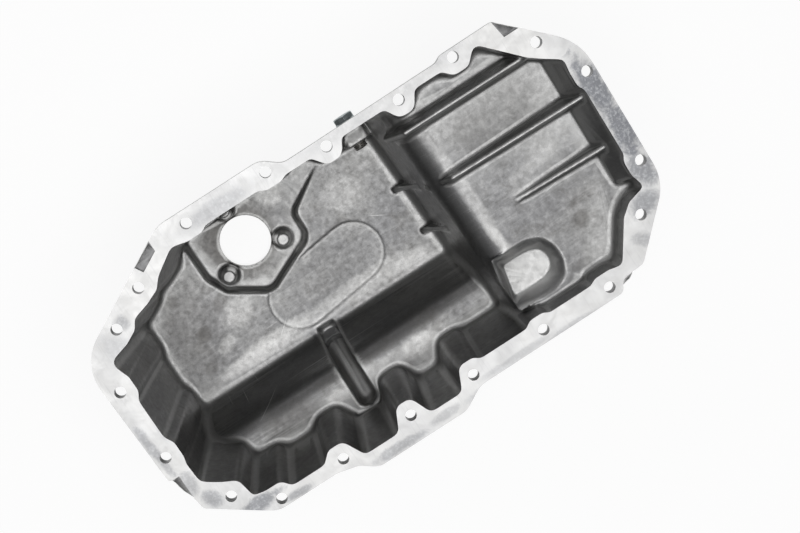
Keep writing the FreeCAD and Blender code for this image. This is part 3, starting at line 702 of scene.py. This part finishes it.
def plug_rings():
    """Rings from the tip of the shank to the middle of the head's top; the small steps round its edges."""
    thread_steps = int(SHANK_LONG / THREAD_PITCH * STEPS_PER_TURN)
    rings = [plain_ring(THREAD_RADIUS - TIP - TIP, -SHANK_LONG)]
    rings += [thread_ring(-SHANK_LONG + SHANK_LONG * step / thread_steps) for step in range(thread_steps)]
    return rings + [
        plain_ring(THREAD_RADIUS, 0.0),
        plain_ring(COLLAR_RADIUS - COLLAR_EDGE, 0.0),
        plain_ring(COLLAR_RADIUS, COLLAR_EDGE),
        plain_ring(COLLAR_RADIUS, COLLAR_THICK - COLLAR_EDGE),
        plain_ring(COLLAR_RADIUS - 0.15 * MM, COLLAR_THICK),
        plain_ring(COLLAR_RADIUS - 0.4 * MM, COLLAR_THICK + 0.05 * MM),
        hex_ring(0.25 * MM, COLLAR_THICK + 0.1 * MM),
        hex_ring(0.0, COLLAR_THICK + 0.35 * MM),
        hex_ring(0.0, HEAD_TOP - 1.1 * MM),
        bevel_ring,
        plain_ring(BEVEL_START, HEAD_TOP),
        plain_ring(BEVEL_START * 0.5, HEAD_TOP),
    ]


plug_mesh = turned_mesh("threaded_plug", plug_rings(), AROUND)
plug_mesh.set_sharp_from_angle(angle=math.radians(PLUG_CRISP_ANGLE))
plug = bpy.data.objects.new("threaded_plug", plug_mesh)
bpy.context.scene.collection.objects.link(plug)
place_turned(plug, RING_THICK)
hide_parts("drain_plug")
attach(plug, "plug")


# Materials

# A patch's edge is moved by this much of its ragged noise, and the patch is full inside this share of its size
PATCH_RAGGED = 1.6
PATCH_CORE = 0.45


class Shade:
    """Nodes of one metal, on the part's own coordinates in metres."""

    def __init__(self, name, plain_roughness):
        self.material = bpy.data.materials.new(name)
        self.material.use_nodes = True
        self.nodes = self.material.node_tree.nodes
        self.links = self.material.node_tree.links
        self.shader = self.nodes["Principled BSDF"]
        self.shader.inputs["Metallic"].default_value = 1.0
        self.shader.inputs["Roughness"].default_value = plain_roughness
        self.coordinates = self.nodes.new("ShaderNodeTexCoord").outputs["Object"]

    def connect(self, value, socket):
        """Sets a socket from a number, a colour or another node's output."""
        if isinstance(value, bpy.types.NodeSocket):
            self.links.new(value, socket)
        elif isinstance(value, tuple):
            socket.default_value = (*value, 1)
        else:
            socket.default_value = value

    def mapped(self, location=(0, 0, 0), turn=0.0, scale=(1, 1, 1), kind="POINT"):
        """Coordinates moved, turned about Z and scaled."""
        node = self.nodes.new("ShaderNodeMapping")
        node.vector_type = kind
        self.links.new(self.coordinates, node.inputs["Vector"])
        node.inputs["Location"].default_value = location
        node.inputs["Rotation"].default_value = (0, 0, math.radians(turn))
        node.inputs["Scale"].default_value = scale
        return node.outputs[0]

    def noise(self, scale, detail=3.0, roughness=0.55, vector=None, distortion=0.0):
        """Cloudy values round 0.5. The scale is in clouds per metre."""
        node = self.nodes.new("ShaderNodeTexNoise")
        self.links.new(vector or self.coordinates, node.inputs["Vector"])
        node.inputs["Scale"].default_value = scale
        node.inputs["Detail"].default_value = detail
        node.inputs["Roughness"].default_value = roughness
        node.inputs["Distortion"].default_value = distortion
        return node.outputs["Fac"]

    def streaks(self, turn, scale, detail, roughness=0.6):
        """Cloudy values stretched along one direction, with a scale for each axis."""
        return self.noise(1, detail, roughness, self.mapped(turn=turn, scale=scale))

    def axis(self, name, vector=None):
        """One coordinate, by its letter."""
        node = self.nodes.new("ShaderNodeSeparateXYZ")
        self.links.new(vector or self.coordinates, node.inputs[0])
        return node.outputs[name]

    def between(self, value, low, high, start=0.0, end=1.0):
        """Smooth step from start to end as the value goes from low to high."""
        node = self.nodes.new("ShaderNodeMapRange")
        node.interpolation_type = "SMOOTHSTEP"
        self.links.new(value, node.inputs["Value"])
        for name, number in (("From Min", low), ("From Max", high), ("To Min", start), ("To Max", end)):
            node.inputs[name].default_value = number
        return node.outputs["Result"]

    def math(self, kind, first, second):
        """One sum, product or choice of two values."""
        node = self.nodes.new("ShaderNodeMath")
        node.operation = kind
        self.connect(first, node.inputs[0])
        self.connect(second, node.inputs[1])
        return node.outputs[0]

    def blend(self, share, first, second):
        """Colour between two colours."""
        node = self.nodes.new("ShaderNodeMix")
        node.data_type = "RGBA"
        self.connect(share, node.inputs[0])
        self.connect(first, node.inputs[6])
        self.connect(second, node.inputs[7])
        return node.outputs[2]

    def patch(self, x, y, half_x, half_y, turn=0.0, ragged=None):
        """Soft spot round a plan point of the pattern, 1 at its middle, with a ragged edge."""
        centre = place(x, y)
        size = (half_x * MM, half_y * MM, 1.0)
        local = self.mapped((centre.x, centre.y, 0), turn, size, "TEXTURE")
        node = self.nodes.new("ShaderNodeVectorMath")
        node.operation = "LENGTH"
        self.links.new(local, node.inputs[0])
        reach = node.outputs["Value"]
        if ragged is not None:
            shift = self.math("MULTIPLY", self.math("SUBTRACT", ragged, 0.5), PATCH_RAGGED)
            reach = self.math("ADD", reach, shift)
        return self.between(reach, 1.0, PATCH_CORE)

    def layer(self, color, value, low, high, strength, tone):
        """Covers a colour with a tone, more as the value goes from low to high."""
        return self.blend(self.between(value, low, high, 0, strength), color, tone)

    def spots(self, color, patches, light_tone, dark_tone, ragged=None):
        """Covers a colour with patches, light or dark by the sign of their strength."""
        for x, y, half_x, half_y, turn, strength in patches:
            mask = self.patch(x, y, half_x, half_y, turn, ragged)
            tone = light_tone if strength > 0 else dark_tone
            color = self.blend(self.math("MULTIPLY", mask, abs(strength)), color, tone)
        return color

    def greatest(self, values):
        """Largest of several values."""
        result = values[0]
        for value in values[1:]:
            result = self.math("MAXIMUM", result, value)
        return result

    def bump(self, height, distance, strength, before=None):
        """Small relief over whatever relief came before."""
        node = self.nodes.new("ShaderNodeBump")
        self.links.new(height, node.inputs["Height"])
        node.inputs["Distance"].default_value = distance
        node.inputs["Strength"].default_value = strength
        if before is not None:
            self.links.new(before, node.inputs["Normal"])
        return node.outputs["Normal"]

    def attribute(self, name):
        """Value stored on the mesh."""
        node = self.nodes.new("ShaderNodeAttribute")
        node.attribute_name = name
        return node.outputs["Fac"]

    def finish(self, color, roughness, normal):
        """Joins the results to the shader."""
        self.links.new(color, self.shader.inputs["Base Color"])
        self.links.new(roughness, self.shader.inputs["Roughness"])
        self.links.new(normal, self.shader.inputs["Normal"])
        return self.material


# Dark stains and light patches on the floors, where the long light strips near Y -30 are painted highlight along the
# foot of the slope to the shelf: X, Y, half sizes, turn in degrees, how dark or light, from -1 to 1.
# Here as in the tables below, places and sizes are in the pattern's millimetres.
CAST_PATCHES = [
    (-170, 44, 11, 9, 0, -0.5),
    (-160, 4, 10, 9, 30, -0.6),
    (-171, -24, 9, 8, 0, -0.35),
    (-133, 20, 12, 7, 40, -0.4),
    (-149, -14, 13, 8, 30, 0.5),
    (-124, 5, 20, 14, 30, 0.55),
    (-110, -31, 50, 8, 0, 0.6),
    (-20, -30, 60, 7, 0, 0.45),
    (-51, 21, 7, 16, 0, 0.3),
    (4, 40, 22, 20, 0, 0.35),
    (-47, 74, 16, 14, 20, 0.75),
    (-45, -14, 26, 12, 10, -0.15),
    (152, -62, 11, 9, 0, -0.55),
    (154, -48, 8, 4, 30, -0.4),
    (134, -93, 12, 6, 0, -0.35),
    (127, -11, 20, 12, 20, 0.25),
    (88, -38, 5, 22, 8, 0.6),
    (116, 46, 26, 12, 0, -0.1),
    (150, -3, 18, 12, 0, 0.3),
    (91, -81, 6, 5, 0, -0.3),
    (-9, -92, 24, 11, 0, 0.75),
    (-88, -92, 12, 8, 0, 0.6),
    (-131, -100, 18, 9, 10, 0.2),
    (-58, -84, 14, 7, 0, 0.3),
]

# Painted light and shade: smooth bands of painted highlight and painted shade along the bends, such as the bright
# foot and dark middle of the slope to the shelf, the step's foot and crest and the middle of the slot, and over whole
# floors, given in the same way
PAINTED_LIGHT_BANDS = [
    (-70, -37, 125, 9, 0, 0.4),
    (-135, -36, 45, 9, 0, 0.6),
    (24, -38, 26, 9, 0, 0.5),
    (-30, -92, 75, 10, 0, 0.4),
    (-131, -92, 34, 24, 0, -0.5),
    (140, 42, 56, 46, 0, -0.42),
    (-164, 14, 34, 50, 0, -0.22),
    (-44, -8, 60, 28, 7, -0.12),
    (-92, 57, 44, 44, 0, -0.8),
    (-30, -76, 110, 9, 0, -0.4),
    (87, 0, 7, 78, 2.6, 0.4),
    (90, -62, 10, 20, 0, 0.5),
    (97, -77, 30, 24, 0, 0.78),
    (48, 0, 3.5, 92, 2.6, 0.45),
    (-70.3, -82, 2.3, 27, -1.5, 0.95),
]

# Scratches: X, Y, half length, half width, turn in degrees
CAST_SCRATCHES = [
    (-142, -68.5, 17, 0.45, 29),
    (-171, -52.5, 6, 0.4, -80),
    (-157, -56.5, 6, 0.4, -80),
    (-143, -50, 5, 0.35, -76),
    (-129, -47, 5, 0.35, -78),
    (146, -28, 9, 0.3, 12),
    (-100, -28, 12, 0.3, 40),
    (20, 10, 10, 0.3, -30),
]


# Shallow oval field in the sump's floor: the middles of its ends, their radius, its rim's slope inside and outside
# that radius, its depth, and how far above the floor it starts and ends to show
SUMP_DEPTH = 150
OVAL_ENDS = [(-74, -13.6), (-14.4, -5.7)]
OVAL_RADIUS = 27.5
OVAL_RIM = (-0.7, 0.3)
OVAL_DEEP = 1.0 * MM
OVAL_ABOVE = (3, 2)


def oval_height(shade):
    """Relief of the shallow oval field: 0 inside its rim and 1 outside."""
    start, end = (place(*point) for point in OVAL_ENDS)
    run = (end - start).xy
    turn = math.degrees(math.atan2(run.y, run.x))
    local = shade.mapped((start.x, start.y, 0), turn, kind="TEXTURE")
    along = shade.axis("X", local)
    nearest = shade.math("MINIMUM", shade.math("MAXIMUM", along, 0.0), run.length)
    beyond = shade.math("POWER", shade.math("SUBTRACT", along, nearest), 2.0)
    aside = shade.math("POWER", shade.axis("Y", local), 2.0)
    reach = shade.math("SQRT", shade.math("ADD", beyond, aside), 0.0)
    inner, outer = ((OVAL_RADIUS + rim) * MM for rim in OVAL_RIM)
    low, high = (place(0, 0, SUMP_DEPTH - above).z for above in OVAL_ABOVE)
    off_floor = shade.between(shade.axis("Z"), low, high)
    return shade.math("MAXIMUM", shade.between(reach, inner, outer), off_floor)


def cast_material():
    """Grey cast aluminium with stains, light patches and scratches, and painted highlights and painted shade along
    its bends and over its floors.
    """
    shade = Shade("cast_aluminium", 0.42)
    clouds = shade.noise(11, 5, 0.6)
    mottle = shade.noise(48, 7, 0.68, distortion=0.6)
    flecks = shade.noise(210, 6, 0.7)
    pits = shade.noise(420, 3, 0.6)
    grain = shade.noise(1500, 2, 0.5)
    wipes = shade.streaks(-18, (16, 260, 60), 5, 0.65)
    scuffs = shade.streaks(34, (60, 700, 90), 4)
    rubs = shade.streaks(-62, (50, 800, 90), 4)
    bend = shade.attribute("bend")
    color = shade.blend(shade.between(clouds, 0.36, 0.64), (0.3, 0.3, 0.305), (0.385, 0.383, 0.379))
    color = shade.layer(color, mottle, 0.5, 0.74, 0.5, (0.22, 0.212, 0.2))
    color = shade.layer(color, flecks, 0.5, 0.7, 0.28, (0.2, 0.193, 0.183))
    color = shade.layer(color, flecks, 0.48, 0.3, 0.2, (0.55, 0.55, 0.55))
    color = shade.layer(color, wipes, 0.52, 0.7, 0.2, (0.6, 0.6, 0.6))
    color = shade.layer(color, scuffs, 0.6, 0.74, 0.3, (0.62, 0.62, 0.615))
    color = shade.layer(color, rubs, 0.62, 0.76, 0.3, (0.6, 0.6, 0.595))
    # Stains and light patches, with painted highlight in the strips at the foot of the slope
    color = shade.spots(color, CAST_PATCHES, (0.72, 0.717, 0.705), (0.12, 0.113, 0.104), mottle)
    # Painted highlights and painted shade from the bands above
    color = shade.spots(color, PAINTED_LIGHT_BANDS, (0.78, 0.777, 0.767), (0.13, 0.125, 0.118))
    scratched = shade.greatest([shade.patch(*scratch) for scratch in CAST_SCRATCHES])
    color = shade.blend(shade.math("MULTIPLY", scratched, 0.7), color, (0.85, 0.85, 0.84))
    # Painted light from the stored bends: painted highlights along gentle hollows, painted shade in tight hollows and
    # painted highlights on ridges.
    color = shade.layer(color, bend, 0.03, 0.12, 0.55, (0.78, 0.78, 0.77))
    color = shade.layer(color, bend, 0.2, 0.5, 0.6, (0.12, 0.12, 0.12))
    color = shade.layer(color, bend, -0.06, -0.3, 0.7, (0.8, 0.8, 0.79))
    color = shade.layer(color, grain, 0.35, 0.65, 0.18, (0.16, 0.16, 0.16))
    roughness = shade.between(flecks, 0.3, 0.7, 0.36, 0.5)
    normal = shade.bump(oval_height(shade), OVAL_DEEP, 1.0)
    normal = shade.bump(mottle, 0.35 * MM, 0.35, normal)
    normal = shade.bump(grain, 0.08 * MM, 0.5, normal)
    normal = shade.bump(pits, 0.1 * MM, 0.25, normal)
    return shade.finish(color, roughness, normal)


# Smudges on the machined face: X, Y, half sizes, turn in degrees, strength
FACE_PATCHES = [
    (209, 20, 14, 40, 2, 0.95),
    (211, -16, 13, 34, 0, 0.95),
    (208, -50, 13, 18, 0, 0.8),
    (-80, 99.6, 40, 10, 0, 0.4),
    (60, 99, 95, 14, 0, 0.2),
    (100, -126, 40, 6, 0, 0.4),
    (30, -130, 40, 6, 0, 0.4),
    (196, -74, 16, 12, 0, 0.7),
    (120, 104, 30, 9, 0, 0.25),
    (-196, 46, 12, 30, 30, 0.3),
    (180, -97, 12, 8, -40, 0.45),
    (-220, -30, 5, 34, 6, 0.55),
    (-212, -66, 8, 14, 0, 0.5),
    (-204, -85, 8, 12, 30, 0.6),
    (-178, -108, 26, 8, 0, 0.8),
    (-146, -118, 16, 5, 0, 0.6),
    (-184, 66, 8, 8, 0, 0.5),
    (-62, -131, 30, 6, 0, 0.55),
    (-20, -129, 18, 5, 0, 0.4),
    (52, -121, 40, 4, 0, 0.3),
]


def machined_material():
    """Milled gasket face: bright, with fine scratches across and grey smudges."""
    shade = Shade("machined_aluminium", 0.3)
    ragged = shade.noise(60, 6, 0.7, distortion=1.0)
    fine = shade.streaks(12, (900, 25, 1), 3)
    cross = shade.streaks(-57, (1300, 30, 1), 3)
    clouds = shade.noise(20, 4, 0.6)
    speckle = shade.noise(420, 5, 0.75)
    color = shade.blend(shade.between(clouds, 0.35, 0.65), (0.72, 0.72, 0.72), (0.77, 0.767, 0.76))
    color = shade.layer(color, fine, 0.56, 0.72, 0.3, (0.55, 0.55, 0.56))
    smudges = []
    for *spot, strength in FACE_PATCHES:
        smudges.append(shade.math("MULTIPLY", shade.patch(*spot, ragged), strength))
    grey = shade.blend(shade.between(speckle, 0.46, 0.66), (0.22, 0.226, 0.245), (0.44, 0.45, 0.47))
    color = shade.blend(shade.greatest(smudges), color, grey)
    roughness = shade.between(ragged, 0.3, 0.7, 0.34, 0.44)
    normal = shade.bump(fine, 0.02 * MM, 0.5)
    normal = shade.bump(cross, 0.015 * MM, 0.4, normal)
    return shade.finish(color, roughness, normal)


def drilled_shade_material():
    """Walls of the drilled bolt holes: dark grey as painted shade, with turning marks."""
    shade = Shade("drilled_painted_shade", 0.45)
    marks = shade.streaks(0, (120, 120, 2600), 3)
    clouds = shade.noise(300, 3, 0.6)
    # Dark base colour: painted shade inside the bolt holes
    color = shade.blend(shade.between(clouds, 0.35, 0.65), (0.12, 0.12, 0.12), (0.3, 0.3, 0.3))
    return shade.finish(color, shade.between(marks, 0.3, 0.7, 0.35, 0.55), shade.bump(marks, 0.03 * MM, 0.4))


# The plug's plating is whole from this far inside the seat outwards, and worn off from this far inwards.
PLATED = 1 * MM
WORN = 3 * MM


def plug_material():
    """Dark zinc plating that is worn bright on the thread."""
    shade = Shade("plug_steel", 0.34)
    grain = shade.noise(900, 3, 0.6)
    clouds = shade.noise(180, 4, 0.6)
    worn = shade.between(shade.axis("Y"), PLUG_SEAT.y - PLATED, PLUG_SEAT.y - WORN)
    plated = shade.blend(shade.between(clouds, 0.35, 0.65), (0.3, 0.34, 0.35), (0.5, 0.545, 0.56))
    thread = shade.blend(shade.between(clouds, 0.4, 0.6), (0.42, 0.41, 0.39), (0.68, 0.67, 0.65))
    color = shade.blend(worn, plated, thread)
    color = shade.layer(color, grain, 0.55, 0.75, 0.3, (0.5, 0.52, 0.52))
    return shade.finish(color, shade.between(grain, 0.3, 0.7, 0.4, 0.58), shade.bump(grain, 0.03 * MM, 0.4))


def ring_material():
    """Bright soft aluminium ring with turning marks."""
    shade = Shade("ring_aluminium", 0.3)
    marks = shade.streaks(0, (300, 4000, 300), 2, 0.5)
    clouds = shade.noise(250, 4, 0.6)
    color = shade.blend(shade.between(clouds, 0.35, 0.65), (0.62, 0.62, 0.61), (0.82, 0.82, 0.81))
    return shade.finish(color, shade.between(marks, 0.3, 0.7, 0.25, 0.4), shade.bump(marks, 0.02 * MM, 0.4))


for material in (cast_material(), machined_material(), drilled_shade_material()):
    casting.data.materials.append(material)
plug.data.materials.append(plug_material())
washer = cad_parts["plug_washer"]
washer.data.materials.clear()
washer.data.materials.append(ring_material())


# Floor, light and camera

# The floor glows white for the camera and in reflections, by a share that leaves its shadow visible.
FLOOR_HALF = 1.6
FLOOR_CORNERS = [(-1, -1), (1, -1), (1, 1), (-1, 1)]
FLOOR_GLOW = 1.25
FLOOR_GLOW_SHARE = 0.7
SURROUND_LIGHT = 0.15

floor_mesh = bpy.data.meshes.new("floor")
floor_mesh.from_pydata([(x * FLOOR_HALF, y * FLOOR_HALF, 0) for x, y in FLOOR_CORNERS], [], [(0, 1, 2, 3)])
floor = bpy.data.objects.new("floor", floor_mesh)
bpy.context.scene.collection.objects.link(floor)


def floor_material():
    """Pale floor: white to the eye and in the metal, with the object's shadow on it."""
    made = bpy.data.materials.new("pale_floor")
    made.use_nodes = True
    nodes = made.node_tree.nodes
    links = made.node_tree.links
    nodes.clear()
    output = nodes.new("ShaderNodeOutputMaterial")
    matte = nodes.new("ShaderNodeBsdfDiffuse")
    matte.inputs["Color"].default_value = (0.8, 0.8, 0.8, 1)
    glow = nodes.new("ShaderNodeEmission")
    glow.inputs["Color"].default_value = (1, 1, 1, 1)
    glow.inputs["Strength"].default_value = FLOOR_GLOW
    mix = nodes.new("ShaderNodeMixShader")
    path = nodes.new("ShaderNodeLightPath")
    share = nodes.new("ShaderNodeMath")
    share.operation = "MULTIPLY"
    share.inputs[1].default_value = FLOOR_GLOW_SHARE
    seen = path.outputs["Is Camera Ray"]
    for kind in ("Is Glossy Ray", "Is Transmission Ray"):
        either = nodes.new("ShaderNodeMath")
        either.operation = "MAXIMUM"
        links.new(seen, either.inputs[0])
        links.new(path.outputs[kind], either.inputs[1])
        seen = either.outputs[0]
    links.new(seen, share.inputs[0])
    links.new(share.outputs[0], mix.inputs["Fac"])
    links.new(matte.outputs[0], mix.inputs[1])
    links.new(glow.outputs[0], mix.inputs[2])
    links.new(mix.outputs[0], output.inputs["Surface"])
    return made


def studio_world():
    """Dim light from all round, behind a pale backdrop that only the camera sees."""
    world = bpy.data.worlds.new("studio")
    world.use_nodes = True
    nodes = world.node_tree.nodes
    links = world.node_tree.links
    nodes.clear()
    output = nodes.new("ShaderNodeOutputWorld")
    surround = nodes.new("ShaderNodeBackground")
    surround.inputs["Color"].default_value = (1, 1, 1, 1)
    surround.inputs["Strength"].default_value = SURROUND_LIGHT
    backdrop = nodes.new("ShaderNodeBackground")
    backdrop.inputs["Strength"].default_value = 1.0
    mix = nodes.new("ShaderNodeMixShader")
    path = nodes.new("ShaderNodeLightPath")
    links.new(path.outputs["Is Camera Ray"], mix.inputs["Fac"])
    links.new(surround.outputs[0], mix.inputs[1])
    links.new(backdrop.outputs[0], mix.inputs[2])
    links.new(mix.outputs[0], output.inputs["Surface"])
    return world


floor_mesh.materials.append(floor_material())
bpy.context.scene.world = studio_world()


# Lamps: name, place, aim, width, height and power
LAMPS = [
    ("key", (-0.1, -0.15, 1.8), (-0.1, -0.15, 0), 1.6, 1.3, 10),
    ("front_strip", (0, 1.45, 1.15), (0, 0, 0.05), 1.8, 0.35, 1.6),
    ("right_strip", (1.5, 0, 1.15), (0, 0, 0.05), 0.35, 1.6, 0.8),
]


def soft_lamp(name, location, aim, width, height, power):
    """Rectangular soft light that points at a place."""
    data = bpy.data.lights.new(name, "AREA")
    data.shape = "RECTANGLE"
    data.size = width
    data.size_y = height
    data.energy = power
    lamp = bpy.data.objects.new(name, data)
    bpy.context.scene.collection.objects.link(lamp)
    lamp.location = location
    lamp.rotation_euler = (Vector(aim) - Vector(location)).to_track_quat("-Z", "Y").to_euler()


for lamp_values in LAMPS:
    soft_lamp(*lamp_values)

# The camera stands where the photograph's lines of sight meet, above the +Y side of the pan. Its turn and its focal
# length, in pixels of the photograph's frame, come from there too.
CAMERA_PLACE = place(13.573, 174.562, -1100)
CAMERA_AIM = place(12.747, -12.431)
CAMERA_TURN = math.radians(57.57)
FOCAL_PIXELS = 1476
PHOTO_WIDTH = 800
SENSOR_WIDTH = 36.0
forward = (CAMERA_AIM - CAMERA_PLACE).normalized()
up = Vector((math.cos(CAMERA_TURN), math.sin(CAMERA_TURN), 0))
up = (up - forward * up.dot(forward)).normalized()
right = forward.cross(up)
camera_data = bpy.data.cameras.new("camera")
camera_data.sensor_width = SENSOR_WIDTH
camera_data.lens = SENSOR_WIDTH * FOCAL_PIXELS / PHOTO_WIDTH
camera = bpy.data.objects.new("camera", camera_data)
bpy.context.scene.collection.objects.link(camera)
turn = Matrix((right, up, -forward)).transposed().to_4x4()
camera.matrix_world = Matrix.Translation(CAMERA_PLACE) @ turn
bpy.context.scene.camera = camera

bpy.context.scene.view_settings.view_transform = "Standard"
